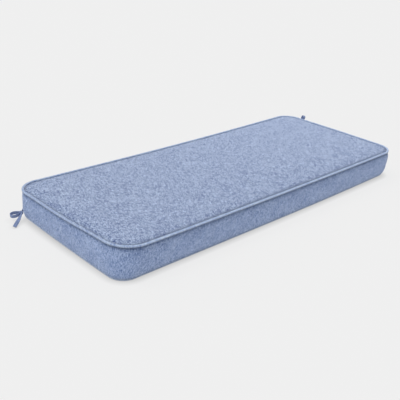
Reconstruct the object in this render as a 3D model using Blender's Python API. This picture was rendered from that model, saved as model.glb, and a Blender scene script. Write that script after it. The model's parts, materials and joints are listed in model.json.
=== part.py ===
"""Bench cushion with piped edges and a cloth tie at each back corner.

Metres, +Z up. The origin lies on the surface that the cushion rests on, under the middle of its body.
+X runs along the cushion to its right end, and +Y runs to its back edge, where the ties are.
"""
import bmesh
import bpy
import numpy as np
from collections import namedtuple
from math import cos, radians, sin

# ---- driving dimensions ----------------------------------------------------------------------------
HALF_LENGTH = 0.5675        # from the middle to the upper welt's centre line, along X
HALF_WIDTH = 0.226          # the same along Y
SEAM_HEIGHT = 0.0877        # the upper welt's centre line above the floor, at a corner
WELT_RADIUS = 0.004         # covered cord, 8 mm thick
GAP = 0.0003                # clearance between pieces that touch
SEWN_GAP = 0.0015           # a tie's square end clears the leaning boxing by this much at its middle

CROWN_RISE = 0.0065         # the filling lifts the top panel this much above its rim
CROWN_ROLL = 0.022          # distance over which the rim rolls up into the crown
TOP_DIP = 0.0045            # the top edge sinks this much between the corners of a long side
BACK_DROP = 0.0017          # the back edge lies lower than the middle, the front edge higher
DIP_FADE = 0.080            # distance from the edge over which the dip fades into the crown
BELLY = 0.0045              # the boxing swells past the line between its two seams
BELLY_POWER = 0.45          # below 1: it swells out at once beside each seam, and is nearly flat between

# Plan shape: how far the lower seam lies inside the upper one, and how far each side bows out.
# A negative bow is a side that its seams draw in.
Sides = namedtuple("Sides", "right back left front")
BOTTOM_INSET = Sides(right=0.0050, back=0.0080, left=0.0040, front=0.0105)
TOP_BOW = Sides(right=0.0020, back=-0.0015, left=0.0045, front=-0.0010)
BOTTOM_BOW = Sides(right=0.0010, back=0.0000, left=-0.0005, front=0.0016)
SIDE_STEPS = Sides(right=7, back=20, left=7, front=20)
CORNER_STEPS = 6

# Corners, anticlockwise from the front right. At a corner the lower seam may be tucked in and lift a
# little, and the boxing may swell more than along the sides.
Corner = namedtuple("Corner", "side_x side_y top_radius bottom_radius tuck lift swell")
CORNERS = (
    Corner(+1, -1, top_radius=0.053, bottom_radius=0.040, tuck=0.0030, lift=0.0030, swell=0.0040),
    Corner(+1, +1, top_radius=0.053, bottom_radius=0.050, tuck=0.0030, lift=0.0050, swell=0.0000),
    Corner(-1, +1, top_radius=0.060, bottom_radius=0.049, tuck=0.0012, lift=0.0145, swell=0.0000),
    Corner(-1, -1, top_radius=0.068, bottom_radius=0.040, tuck=0.0000, lift=0.0000, swell=0.0000),
)
CORNER_REACH = 0.440        # what a corner adds fades out over this distance
LIFT_DEPTH = 0.090          # the bottom panel lies flat this far inside its seam

# Section through a seam: the panel rolls over its lip into a channel, which wraps the welt's inner
# side. Places on the channel's arc are angles: at 90 it is on the panel's side of the welt, at 180
# straight inside it, and at 270 on the boxing's side. The lower seam is the same section upside down,
# and wraps further round, because its welt is turned in under the cushion.
LIP_INSET = 0.0095
LIP_RISE = 0.0036
WRAP_RADIUS = 0.0048
UPPER_WRAP = (164.0, 190.0, 226.0, 262.0)
LOWER_WRAP = (164.0, 190.0, 226.0, 262.0, 298.0, 328.0)
BOXING_LEVELS = (0.06, 0.16, 0.30, 0.50, 0.70, 0.84, 0.94)
TOP_INSETS = (0.015, 0.024, 0.036, 0.055, 0.085, 0.130, 0.190)
BOTTOM_INSETS = (0.015, 0.030, 0.055, 0.095, 0.190)
EVEN_INSET = 0.020          # rings are offset evenly up to here, and drawn to the middle line beyond

# Ties: a flat strip sewn on under the upper welt at each back corner, with a knot, a loop and one free
# end.
TIE_WIDTH = 0.009
TIE_THICKNESS = 0.002
KNOT_RADII = (0.0058, 0.0055, 0.0058)
TIE_LEVEL = 0.10            # height of the sewn end as a share of the boxing's depth, from the top
TIE_STATION = 2             # steps from the back side round the corner to the sewn end
STRIP_STEPS = 3             # steps of a strip from one bend to the next
LOOP_STEPS = 22
TEARDROP_PEAK = 0.77        # the largest value of the teardrop's formula, which its width divides by
SMOOTH_ANGLE = 50.0         # faces that meet at less than this are shaded as one surface

# A bend of a strip: its place in millimetres, and which way its width points there, by heading and
# tilt in degrees. At a tilt of 90 the strip stands on edge.
Bend = namedtuple("Bend", "x y z heading tilt")
# A loop: its long axis by heading and climb in degrees, how far its plane is rolled about that axis
# from lying level, and its length and width in millimetres.
Loop = namedtuple("Loop", "heading climb roll length width")

CLOTH_COLOUR = (0.300, 0.372, 0.552)
WELT_COLOUR = (0.285, 0.355, 0.535)
TIE_COLOUR = (0.215, 0.280, 0.450)
CLOTH_ROUGHNESS = 0.9


# ---- the cushion's outline -------------------------------------------------------------------------
def outline(edges, radii, bows):
    """Stations round a rounded rectangle with bowed sides: their points and their inward normals.

    They run anticlockwise from the front right corner: four arcs, each followed by its side.
    """
    points = []
    normals = []
    for index, (corner, radius) in enumerate(zip(CORNERS, radii)):
        reach_x = edges.right if corner.side_x > 0 else edges.left
        reach_y = edges.back if corner.side_y > 0 else edges.front
        centre = np.array([reach_x - corner.side_x * radius, reach_y - corner.side_y * radius])
        angles = np.radians(90.0 * (index - 1) + np.linspace(0.0, 90.0, CORNER_STEPS + 1))
        outward = np.stack([np.cos(angles), np.sin(angles)], axis=1)
        points.append(centre + radius * outward)
        normals.append(-outward)
    loop_points = []
    loop_normals = []
    for index, steps in enumerate(SIDE_STEPS):
        start = points[index][-1]
        end = points[(index + 1) % len(points)][0]
        share = np.linspace(0.0, 1.0, steps + 1)[1:-1, None]
        inward = np.repeat(normals[index][-1:], len(share), axis=0)
        side = start + share * (end - start) - inward * bows[index] * np.sin(np.pi * share) ** 2
        loop_points += [points[index], side]
        loop_normals += [normals[index], inward]
    return np.concatenate(loop_points), np.concatenate(loop_normals)


def corner_sum(points, field):
    """Sum of a corner value over the plan, strongest at its own corner and zero beyond its reach."""
    total = np.zeros(len(points))
    for corner in CORNERS:
        apex = np.array([corner.side_x * HALF_LENGTH, corner.side_y * HALF_WIDTH])
        distance = np.linalg.norm(points - apex, axis=1)
        total += getattr(corner, field) * np.clip(1.0 - distance / CORNER_REACH, 0.0, 1.0) ** 2
    return total


def top_outline():
    edges = Sides(right=HALF_LENGTH, back=HALF_WIDTH, left=-HALF_LENGTH, front=-HALF_WIDTH)
    return outline(edges, [corner.top_radius for corner in CORNERS], TOP_BOW)


def bottom_outline():
    edges = Sides(
        right=HALF_LENGTH - BOTTOM_INSET.right,
        back=HALF_WIDTH - BOTTOM_INSET.back,
        left=BOTTOM_INSET.left - HALF_LENGTH,
        front=BOTTOM_INSET.front - HALF_WIDTH,
    )
    points, normals = outline(edges, [corner.bottom_radius for corner in CORNERS], BOTTOM_BOW)
    return points + normals * corner_sum(points, "tuck")[:, None], normals


def top_height(points, inset):
    """Height of the upper seam's level at some plan points, whose dip fades away from the edge."""
    x_share, y_share = points[:, 0] / HALF_LENGTH, points[:, 1] / HALF_WIDTH
    dip = TOP_DIP * np.clip(1.0 - x_share ** 2, 0.0, 1.0) * np.exp(-inset / DIP_FADE)
    return SEAM_HEIGHT - BACK_DROP * y_share - dip


def bottom_height(points, inset):
    """How far the lower seam and the bottom panel's rim lift off the floor near a corner."""
    fade = np.clip(1.0 - inset / LIFT_DEPTH, 0.0, 1.0) ** 2
    return corner_sum(points, "lift") * fade


def lower_seam_height(points):
    return WELT_RADIUS + GAP + bottom_height(points, 0.0)


def ring(points, normals, inset):
    """A ring of plan points inside an outline: offset evenly at first, then drawn to the middle line."""
    even = points + normals * min(inset, EVEN_INSET)
    share = max(0.0, inset - EVEN_INSET) / (HALF_WIDTH - EVEN_INSET)
    middle = np.zeros_like(even)
    middle[:, 0] = points[:, 0] * (HALF_LENGTH - HALF_WIDTH) / HALF_LENGTH
    return even + (middle - even) * share


def level(plan, height):
    return np.column_stack([plan, np.broadcast_to(height, len(plan))])


def wrap_point(angle):
    """A place on a channel's arc: its distance inside the welt's centre line, and above it."""
    return -WRAP_RADIUS * cos(radians(angle)), WRAP_RADIUS * sin(radians(angle))


# ---- the filled body -------------------------------------------------------------------------------
def top_rings():
    """Rings from the middle of the top panel out to its lip, and down into the upper channel."""
    points, normals = top_outline()
    rings = []
    for inset in reversed((LIP_INSET,) + TOP_INSETS):
        crown = CROWN_RISE * (1.0 - np.exp(-(inset - LIP_INSET) / CROWN_ROLL))
        height = top_height(points, inset) + LIP_RISE + crown
        rings.append(level(ring(points, normals, inset), height))
    for angle in UPPER_WRAP:
        inset, rise = wrap_point(angle)
        rings.append(level(points + normals * inset, top_height(points, 0.0) + rise))
    return rings


def boxing_ring(share):
    """The boxing at a share of its depth: 0 at the upper channel's end, 1 at the lower one's."""
    top_points, normals = top_outline()
    bottom_points, _ = bottom_outline()
    upper_inset, upper_rise = wrap_point(UPPER_WRAP[-1])
    lower_inset, lower_rise = wrap_point(LOWER_WRAP[-1])
    upper = level(top_points + normals * upper_inset, top_height(top_points, 0.0) + upper_rise)
    lower = level(bottom_points + normals * lower_inset, lower_seam_height(bottom_points) - lower_rise)
    outward = (BELLY + corner_sum(top_points, "swell")) * np.sin(np.pi * share) ** BELLY_POWER
    return upper + (lower - upper) * share - level(normals * outward[:, None], 0.0)


def bottom_rings():
    """Rings from the lower channel, under the bottom panel, in to its middle."""
    points, normals = bottom_outline()
    rings = []
    for angle in reversed(LOWER_WRAP):
        inset, rise = wrap_point(angle)
        rings.append(level(points + normals * inset, lower_seam_height(points) - rise))
    for inset in (LIP_INSET,) + BOTTOM_INSETS:
        rings.append(level(ring(points, normals, inset), bottom_height(points, inset)))
    return rings


def cap_faces(first, station_count):
    """Faces that close the inmost ring: strips across from front to back, and one face at each end."""
    right, back, left, front = SIDE_STEPS
    back_start = 2 * CORNER_STEPS + right
    left_start = back_start + back + CORNER_STEPS
    front_start = left_start + left + CORNER_STEPS
    across = []
    for step in range(back + 1):
        behind = back_start + step
        before = (front_start + front - step) % station_count
        across.append((first + behind, first + before))
    faces = []
    for (b0, f0), (b1, f1) in zip(across, across[1:]):
        faces.append((f0, b0, b1, f1))
    right_end = [first + station for station in range(back_start + 1)]
    left_end = [first + station for station in range(back_start + back, front_start + 1)]
    return faces, right_end, left_end


def make_cushion():
    rings = top_rings()
    rings += [boxing_ring(share) for share in BOXING_LEVELS]
    rings += bottom_rings()
    station_count = len(rings[0])
    faces = []
    for row in range(len(rings) - 1):
        for station in range(station_count):
            following = (station + 1) % station_count
            upper, lower = row * station_count, (row + 1) * station_count
            faces.append((upper + station, lower + station, lower + following, upper + following))
    for first in (0, (len(rings) - 1) * station_count):
        across, right_end, left_end = cap_faces(first, station_count)
        faces += across + [right_end, left_end]
    mesh = bpy.data.meshes.new("cushion")
    mesh.from_pydata(np.concatenate(rings).tolist(), [], faces)
    return finish_mesh("cushion", mesh)


def finish_mesh(name, mesh):
    """Turns a mesh's faces outwards, shades it smooth and puts it in an object of its own."""
    working = bmesh.new()
    working.from_mesh(mesh)
    bmesh.ops.recalc_face_normals(working, faces=working.faces)
    working.to_mesh(mesh)
    working.free()
    mesh.shade_smooth()
    mesh.set_sharp_from_angle(angle=radians(SMOOTH_ANGLE))
    piece = bpy.data.objects.new(name, mesh)
    bpy.context.collection.objects.link(piece)
    return piece


# ---- the welts -------------------------------------------------------------------------------------
def make_welt(name, points, heights):
    """Covered cord along a seam, as a closed curve with a round section."""
    curve = bpy.data.curves.new(name, "CURVE")
    curve.dimensions = "3D"
    curve.bevel_depth = WELT_RADIUS
    curve.bevel_resolution = 2
    curve.twist_mode = "Z_UP"
    spline = curve.splines.new("POLY")
    spline.points.add(len(points) - 1)
    for target, (x, y), z in zip(spline.points, points, heights):
        target.co = (x, y, z, 1.0)
    spline.use_cyclic_u = True
    spline.use_smooth = True
    welt = bpy.data.objects.new(name, curve)
    bpy.context.collection.objects.link(welt)
    return welt


# ---- the ties --------------------------------------------------------------------------------------
def through(bends, steps):
    """A smooth curve through a strip's bends, with some steps between each pair of them."""
    keys = np.array(bends, dtype=float)
    keys = np.vstack([2 * keys[0] - keys[1], keys, 2 * keys[-1] - keys[-2]])
    samples = []
    for before, start, end, after in zip(keys, keys[1:], keys[2:], keys[3:]):
        for step in range(steps):
            t = step / steps
            samples.append(0.5 * (2 * start + (end - before) * t
                                  + (2 * before - 5 * start + 4 * end - after) * t ** 2
                                  + (3 * start - before - 3 * end + after) * t ** 3))
    samples.append(keys[-2])
    return np.array(samples)


def strip_along(bends):
    """Centres of a strip through its bends, and the direction of its width at each of them."""
    samples = through(bends, STRIP_STEPS)
    centres = samples[:, :3] / 1000.0
    heading, tilt = np.radians(samples[:, 3:]).T
    level_share = np.cos(tilt)
    across = np.stack([level_share * np.cos(heading), level_share * np.sin(heading), np.sin(tilt)], axis=1)
    tangents = np.gradient(centres, axis=0)
    tangents /= np.linalg.norm(tangents, axis=1, keepdims=True)
    across -= tangents * np.sum(tangents * across, axis=1, keepdims=True)
    return centres, across / np.linalg.norm(across, axis=1, keepdims=True)


def strip_round(loop, knot_place):
    """Centres of a teardrop loop that starts and ends in its knot, and the direction of its width."""
    heading, climb, roll = radians(loop.heading), radians(loop.climb), radians(loop.roll)
    along = np.array([cos(climb) * cos(heading), cos(climb) * sin(heading), sin(climb)])
    level_across = np.array([-sin(heading), cos(heading), 0.0])
    upright = np.cross(along, level_across)
    across = cos(roll) * level_across + sin(roll) * upright
    share = np.linspace(0.0, 1.0, LOOP_STEPS + 1)[:, None]
    reach = loop.length * (1.0 - np.cos(2.0 * np.pi * share)) / 2.0
    teardrop = np.sin(2.0 * np.pi * share) * np.sin(np.pi * share) / TEARDROP_PEAK
    spread = loop.width / 2.0 * teardrop
    centres = (np.array(knot_place) + along * reach + across * spread) / 1000.0
    return centres, np.tile(np.cross(along, across), (len(centres), 1))


def make_strip(name, centres, across):
    """A flat strip of folded cloth about its centre line, closed at both ends."""
    tangents = np.gradient(centres, axis=0)
    facing = np.cross(tangents, across)
    facing /= np.linalg.norm(facing, axis=1, keepdims=True)
    vertices = []
    for edge, side in ((1, 1), (1, -1), (-1, -1), (-1, 1)):
        vertices.append(centres + across * edge * TIE_WIDTH / 2 + facing * side * TIE_THICKNESS / 2)
    vertices = np.stack(vertices, axis=1)
    faces = [(3, 2, 1, 0)]
    for row in range(len(centres) - 1):
        for side in range(4):
            following = (side + 1) % 4
            near, far = 4 * row, 4 * row + 4
            faces.append((near + side, near + following, far + following, far + side))
    last = 4 * (len(centres) - 1)
    faces.append((last, last + 1, last + 2, last + 3))
    mesh = bpy.data.meshes.new(name)
    mesh.from_pydata(vertices.reshape(-1, 3).tolist(), [], faces)
    return finish_mesh(name, mesh)


def make_tie(name, knot_place, stem, loop, tail):
    """A knot with the sewn stem, the loop and the free end fused into it."""
    mesh = bpy.data.meshes.new(name)
    working = bmesh.new()
    bmesh.ops.create_icosphere(working, subdivisions=2, radius=1.0)
    bmesh.ops.scale(working, vec=KNOT_RADII, verts=working.verts)
    working.to_mesh(mesh)
    working.free()
    knot = finish_mesh(name, mesh)
    knot.location = [value / 1000.0 for value in knot_place]
    strips = {
        "stem": strip_along(stem),
        "loop": strip_round(loop, knot_place),
        "tail": strip_along(tail),
    }
    for part_name, (centres, across) in strips.items():
        strip = make_strip(name + "_" + part_name, centres, across)
        strip.hide_render = True
        strip.display_type = "WIRE"
        union = knot.modifiers.new(part_name, "BOOLEAN")
        union.operation = "UNION"
        union.solver = "EXACT"
        union.object = strip
    return knot


def sewn_end(side):
    """Where a tie is sewn to the boxing, a hair off it, in millimetres.

    The side is -1 for the left corner and +1 for the right one.
    """
    back_start = 2 * CORNER_STEPS + SIDE_STEPS.right
    station = back_start - TIE_STATION if side > 0 else back_start + SIDE_STEPS.back + TIE_STATION
    plan = boxing_ring(TIE_LEVEL)
    along = plan[station + 1] - plan[station - 1]
    outward = np.array([along[1], -along[0], 0.0])
    outward /= np.linalg.norm(outward)
    return (plan[station] + outward * SEWN_GAP) * 1000.0


def make_left_tie():
    """The left tie droops: its loop lies by the corner's foot and its free end on the floor."""
    knot = (-569.5, 199.5, 15.0)
    stem = (
        Bend(*sewn_end(-1), 30, 0),
        Bend(-541.0, 225.7, 66, 30, 0),
        Bend(-541.5, 225.3, 50, 32, 0),
        Bend(-543.0, 222.5, 37, 36, -10),
        Bend(-548.0, 215.5, 26, 42, -30),
        Bend(-556.5, 207.0, 20.5, 46, -50),
        Bend(*knot, 48, -60),
    )
    loop = Loop(heading=160, climb=-3, roll=16, length=24, width=15)
    tail = (
        Bend(-569, 197, 18.5, 309, 60),
        Bend(-574, 191, 17.5, 309, 70),
        Bend(-580, 185.5, 12.5, 309, 55),
        Bend(-590, 178, 7, 309, 25),
        Bend(-608, 164.5, 2.6, 309, 8),
    )
    return make_tie("tie_left", knot, stem, loop, tail)


def make_right_tie():
    """The right tie stands out from its corner: its loop points up, and its free end hangs down."""
    knot = (585.0, 169.0, 74.0)
    stem = (
        Bend(*sewn_end(+1), 330, 90),
        Bend(556, 219, 75.5, 330, 90),
        Bend(568, 209, 73, 330, 90),
        Bend(577, 196, 71, 330, 90),
        Bend(582, 182, 71.5, 330, 90),
        Bend(*knot, 330, 90),
    )
    loop = Loop(heading=-55, climb=70, roll=20, length=22, width=14)
    tail = (
        Bend(586, 171, 75, 315, 0),
        Bend(591, 176, 72, 315, 0),
        Bend(596, 181, 60, 315, 0),
        Bend(599, 184, 46, 315, 0),
        Bend(603, 188, 33, 315, 0),
    )
    return make_tie("tie_right", knot, stem, loop, tail)


# ---- materials and the whole -----------------------------------------------------------------------
def dress(piece, colour):
    """Gives a piece its own cloth material."""
    material = bpy.data.materials.new(piece.name + "_cloth")
    material.use_nodes = True
    shader = material.node_tree.nodes["Principled BSDF"]
    shader.inputs["Base Color"].default_value = (*colour, 1.0)
    shader.inputs["Roughness"].default_value = CLOTH_ROUGHNESS
    shader.inputs["Metallic"].default_value = 0.0
    piece.data.materials.append(material)


def main():
    for old in list(bpy.data.objects):
        bpy.data.objects.remove(old, do_unlink=True)
    dress(make_cushion(), CLOTH_COLOUR)
    top_points, _ = top_outline()
    dress(make_welt("welt_top", top_points, top_height(top_points, 0.0)), WELT_COLOUR)
    bottom_points, _ = bottom_outline()
    dress(make_welt("welt_bottom", bottom_points, lower_seam_height(bottom_points)), WELT_COLOUR)
    dress(make_left_tie(), TIE_COLOUR)
    dress(make_right_tie(), TIE_COLOUR)


main()
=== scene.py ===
# %% [markdown]
# # A bench cushion, made cell by cell
# The real thing is a long box cushion: a top and a bottom panel, a strip of cloth between them that
# makers call the boxing, a covered cord called a welt sewn into each of the two seams, and a narrow
# cloth tie at each back corner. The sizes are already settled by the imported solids, which this lesson
# loads first and never moves. Everything that follows only dresses them.

# %% The frame
import bmesh
import bpy
import json
import numpy as np
from collections import namedtuple
from math import cos, degrees, pi, radians, sin
from mathutils import Matrix, Vector, noise
from mathutils.kdtree import KDTree

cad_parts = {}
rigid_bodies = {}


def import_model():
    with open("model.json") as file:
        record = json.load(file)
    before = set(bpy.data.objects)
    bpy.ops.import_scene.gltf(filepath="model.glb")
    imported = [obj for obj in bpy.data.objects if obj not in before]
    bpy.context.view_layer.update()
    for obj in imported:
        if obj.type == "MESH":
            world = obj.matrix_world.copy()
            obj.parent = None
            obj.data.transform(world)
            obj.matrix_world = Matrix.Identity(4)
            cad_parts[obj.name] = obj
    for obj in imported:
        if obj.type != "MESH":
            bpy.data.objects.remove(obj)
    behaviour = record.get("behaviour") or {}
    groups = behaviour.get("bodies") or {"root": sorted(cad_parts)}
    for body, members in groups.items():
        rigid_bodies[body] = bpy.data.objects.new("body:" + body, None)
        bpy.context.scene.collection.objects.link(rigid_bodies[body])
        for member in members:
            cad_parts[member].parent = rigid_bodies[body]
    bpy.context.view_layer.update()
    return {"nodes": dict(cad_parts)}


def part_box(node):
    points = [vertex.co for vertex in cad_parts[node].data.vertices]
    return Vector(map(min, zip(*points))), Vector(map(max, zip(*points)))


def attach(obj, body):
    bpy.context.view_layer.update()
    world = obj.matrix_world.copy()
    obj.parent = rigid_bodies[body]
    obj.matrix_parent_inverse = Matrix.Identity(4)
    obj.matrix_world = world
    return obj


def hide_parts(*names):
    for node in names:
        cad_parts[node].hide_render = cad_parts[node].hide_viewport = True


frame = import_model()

scene = bpy.context.scene
print("solids:", ", ".join(sorted(frame["nodes"])))

# %% [markdown]
# ## Small helpers
# A few steps come back in every part of the lesson: a new object is linked to the scene, a thing gets
# several settings at once, and a node is added and fed. A node tree is easiest to read when a node and
# what feeds it stand on one line, so each input is given either a value or another node's output.

# %% Helpers
MM = 1000.0                 # millimetres in a metre


def new_object(name, data):
    """An object in the scene that shows some data."""
    item = bpy.data.objects.new(name, data)
    scene.collection.objects.link(item)
    return item


def evaluated(piece):
    """A piece as its modifiers leave it."""
    return piece.evaluated_get(bpy.context.evaluated_depsgraph_get())


def set_all(target, **values):
    for name, value in values.items():
        setattr(target, name, value)


def feed(tree, node, inputs):
    """Gives a node's inputs, by name or number, a value or another node's output each."""
    for name, value in inputs.items():
        if isinstance(value, bpy.types.NodeSocket):
            tree.links.new(value, node.inputs[name])
        else:
            node.inputs[name].default_value = value
    return node


def add(tree, kind, inputs=None, **settings):
    """Adds a node with some settings, and feeds it."""
    node = tree.nodes.new(kind)
    set_all(node, **settings)
    return feed(tree, node, inputs or {})


def maths(tree, operation, first, second=0.0, third=0.0, **settings):
    """The result of a Math node."""
    return add(tree, "ShaderNodeMath", {0: first, 1: second, 2: third},
               operation=operation, **settings).outputs[0]


def vector_maths(tree, operation, inputs):
    """The result of a Vector Math node."""
    return add(tree, "ShaderNodeVectorMath", inputs, operation=operation).outputs[0]


def mix(tree, share, first, second, kind="FLOAT"):
    """The blend of two numbers, vectors or colours. A Mix node has a pair of inputs for each kind."""
    row = ("FLOAT", "VECTOR", "RGBA").index(kind)
    pair = {2 + 2 * row: first, 3 + 2 * row: second}
    return add(tree, "ShaderNodeMix", {0: share, **pair}, data_type=kind).outputs[row]


def noise_tone(tree, place, waves, detail):
    """A noise texture's tone at a place, from 0 to 1, with so many waves in each unit of length."""
    return add(tree, "ShaderNodeTexNoise", {
        "Vector": place, "Scale": waves, "Detail": detail}).outputs["Fac"]


def group_sockets(tree, inputs, outputs):
    """Gives a node group its named sockets, with the inputs' starting values."""
    for name, (kind, value) in inputs.items():
        socket = tree.interface.new_socket(name=name, in_out="INPUT", socket_type=kind)
        if value is not None:
            socket.default_value = value
    for name, kind in outputs.items():
        tree.interface.new_socket(name=name, in_out="OUTPUT", socket_type=kind)


def new_material(name):
    """A plain material, its node tree and its shader node."""
    material = bpy.data.materials.new(name)
    material.use_nodes = True
    return material, material.node_tree, material.node_tree.nodes["Principled BSDF"]


# %% [markdown]
# ## The camera
# A camera can be turned by hand until its picture looks right, or its place can be worked out from
# lines in the photograph whose real shape is known. Here the two welts and the outline were such
# lines, so the place, the three angles and the lens are plain numbers. The camera's axes are written
# out as vectors, because yaw, pitch and roll are easier to picture one at a time.

# %% Camera
CAMERA_PLACE = Vector((-1.3951, -1.2402, 0.8223))
CAMERA_YAW = radians(46.266)        # from +Y towards +X
CAMERA_PITCH = radians(-24.538)
CAMERA_ROLL = radians(4.30)
LENS, SENSOR = 60.98, 36.0          # millimetres
NEAR_CLIP = 0.01


def make_camera():
    ahead = Vector((
        sin(CAMERA_YAW) * cos(CAMERA_PITCH),
        cos(CAMERA_YAW) * cos(CAMERA_PITCH),
        sin(CAMERA_PITCH),
    ))
    level_right = Vector((cos(CAMERA_YAW), -sin(CAMERA_YAW), 0.0))
    level_up = level_right.cross(ahead)
    right = level_right * cos(CAMERA_ROLL) + level_up * sin(CAMERA_ROLL)
    up = level_up * cos(CAMERA_ROLL) - level_right * sin(CAMERA_ROLL)
    data = bpy.data.cameras.new("camera")
    set_all(data, lens=LENS, sensor_width=SENSOR, clip_start=NEAR_CLIP)
    camera = new_object("camera", data)
    camera.matrix_world = Matrix((
        (right.x, up.x, -ahead.x, CAMERA_PLACE.x),
        (right.y, up.y, -ahead.y, CAMERA_PLACE.y),
        (right.z, up.z, -ahead.z, CAMERA_PLACE.z),
        (0.0, 0.0, 0.0, 1.0),
    ))
    scene.camera = camera


make_camera()
scene.view_settings.view_transform = "Standard"
print("camera pitch:", round(degrees(CAMERA_PITCH), 2), "degrees")

# %% [markdown]
# ## Light and floor
# The photograph has the look of a bright studio table: a white room all round, one broad light nearly
# overhead from the back left, and a floor so pale that it shows only a thin shadow close to the
# cushion. A pale floor in a white room would show a wide grey shadow, so this one gives off most of
# its brightness itself. The glow fades a little where the cushion closes the floor in, which keeps
# the contact dark. A third, local lamp behind the right end makes the panel a little brighter with
# distance, as in the photograph. It is linked to the cushion alone, so that the floor stays even.

# %% Light and floor
ROOM_BRIGHTNESS = 0.55
ROOM_TINT = (1.0, 1.0, 1.0, 1.0)
KEY_STRENGTH = 1.5
KEY_TINT = (1.0, 1.0, 1.0)
KEY_FROM = Vector((-0.27, 0.15, 1.0))
KEY_SOFTNESS = radians(55.0)
FLOOR_GLOW = 0.765
GLOW_TINT = (1.0, 1.0, 1.0, 1.0)
FLOOR_ALBEDO = 0.10
FLOOR_REACH = 30.0
FLOOR_DROP = 0.0003         # just under the underside, so that the two never share a plane
CONTACT_REACH = 0.021       # the glow fades within this distance of the cushion
CONTACT_SHARE = 0.43        # and by at most this share
FAR_LAMP_POWER = 7.5
FAR_LAMP_PLACE = Vector((1.25, 0.85, 1.25))
FAR_LAMP_AIM = Vector((0.35, 0.05, 0.10))
FAR_LAMP_SIZE = 0.9


def light_room():
    world = bpy.data.worlds.new("white_room")
    world.use_nodes = True
    feed(world.node_tree, world.node_tree.nodes["Background"],
         {"Color": ROOM_TINT, "Strength": ROOM_BRIGHTNESS})
    scene.world = world
    data = bpy.data.lights.new("key", "SUN")
    set_all(data, energy=KEY_STRENGTH, color=KEY_TINT, angle=KEY_SOFTNESS)
    key = new_object("key", data)
    key.rotation_euler = KEY_FROM.to_track_quat("Z", "Y").to_euler()


def light_far_end():
    """The local lamp, which shines on what is in its own collection only."""
    data = bpy.data.lights.new("far_lamp", "AREA")
    set_all(data, energy=FAR_LAMP_POWER, size=FAR_LAMP_SIZE)
    lamp = new_object("far_lamp", data)
    lamp.location = FAR_LAMP_PLACE
    lamp.rotation_euler = (FAR_LAMP_PLACE - FAR_LAMP_AIM).to_track_quat("Z", "Y").to_euler()
    receivers = bpy.data.collections.new("lit_by_far_lamp")
    lamp.light_linking.receiver_collection = receivers
    return receivers


def make_floor():
    mesh = bpy.data.meshes.new("floor")
    corners = [(x * FLOOR_REACH, y * FLOOR_REACH, -FLOOR_DROP)
               for x, y in ((-1, -1), (1, -1), (1, 1), (-1, 1))]
    mesh.from_pydata(corners, [], [(0, 1, 2, 3)])
    floor = new_object("floor", mesh)
    material, tree, shader = new_material("pale_table")
    # painted contact shadow: the floor's glow is dimmed by ambient occlusion close to the cushion
    closed_in = add(tree, "ShaderNodeAmbientOcclusion", {"Distance": CONTACT_REACH}).outputs["AO"]
    feed(tree, shader, {
        "Base Color": (FLOOR_ALBEDO, FLOOR_ALBEDO, FLOOR_ALBEDO, 1.0), "Roughness": 1.0,
        "Specular IOR Level": 0.0, "Emission Color": GLOW_TINT,
        "Emission Strength": maths(tree, "MULTIPLY_ADD", closed_in, FLOOR_GLOW * CONTACT_SHARE,
                                   FLOOR_GLOW * (1.0 - CONTACT_SHARE))})
    mesh.materials.append(material)


light_room()
far_lamp_receivers = light_far_end()
make_floor()

# %% [markdown]
# ## The two seams
# Every piece follows the seams, so their lines come first: a rounded rectangle in plan for the upper
# welt, and a slightly smaller one for the lower. These are the same sizes and the same rules as in the
# solids, only walked in shorter steps, so nothing here has to be fitted to them.

# %% Sizes of the seams
HALF_LENGTH = 0.5675
HALF_WIDTH = 0.226
SEAM_HEIGHT = 0.0877
WELT_RADIUS = 0.004
GAP = 0.0003                # below the lower welt
TOP_DIP = 0.0045            # the upper seam sags by this much half way along the cushion
BACK_DROP = 0.0017          # it is lower by this at the back, and higher at the front
DIP_FADE = 0.080            # the sag fades out in the panel, over about this distance

# The lower seam lies inside the upper one by its insets, and a bow swings a side outward.
Sides = namedtuple("Sides", "right back left front")
BOTTOM_INSET = Sides(right=0.0050, back=0.0080, left=0.0040, front=0.0105)
TOP_BOW = Sides(right=0.0020, back=-0.0015, left=0.0045, front=-0.0010)
BOTTOM_BOW = Sides(right=0.0010, back=0.0000, left=-0.0005, front=0.0016)
SIDE_STEPS = Sides(right=68, back=200, left=68, front=200)
CORNER_STEPS = 18

# At a corner the lower seam is tucked in and lifted, and the boxing swells out.
Corner = namedtuple("Corner", "side_x side_y top_radius bottom_radius tuck lift swell")
CORNERS = (
    Corner(+1, -1, top_radius=0.053, bottom_radius=0.040, tuck=0.0030, lift=0.0030, swell=0.0040),
    Corner(+1, +1, top_radius=0.053, bottom_radius=0.050, tuck=0.0030, lift=0.0050, swell=0.0000),
    Corner(-1, +1, top_radius=0.060, bottom_radius=0.049, tuck=0.0012, lift=0.0145, swell=0.0000),
    Corner(-1, -1, top_radius=0.068, bottom_radius=0.040, tuck=0.0000, lift=0.0000, swell=0.0000),
)
CORNER_REACH = 0.440        # how far along the seams that is felt
LIFT_DEPTH = 0.090          # and how far in under the cushion

# Where the stations round an outline change from one side to the next.
BACK_START = 2 * CORNER_STEPS + SIDE_STEPS.right
LEFT_START = BACK_START + SIDE_STEPS.back
FRONT_START = LEFT_START + 2 * CORNER_STEPS + SIDE_STEPS.left
STATION_COUNT = FRONT_START + SIDE_STEPS.front


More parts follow.
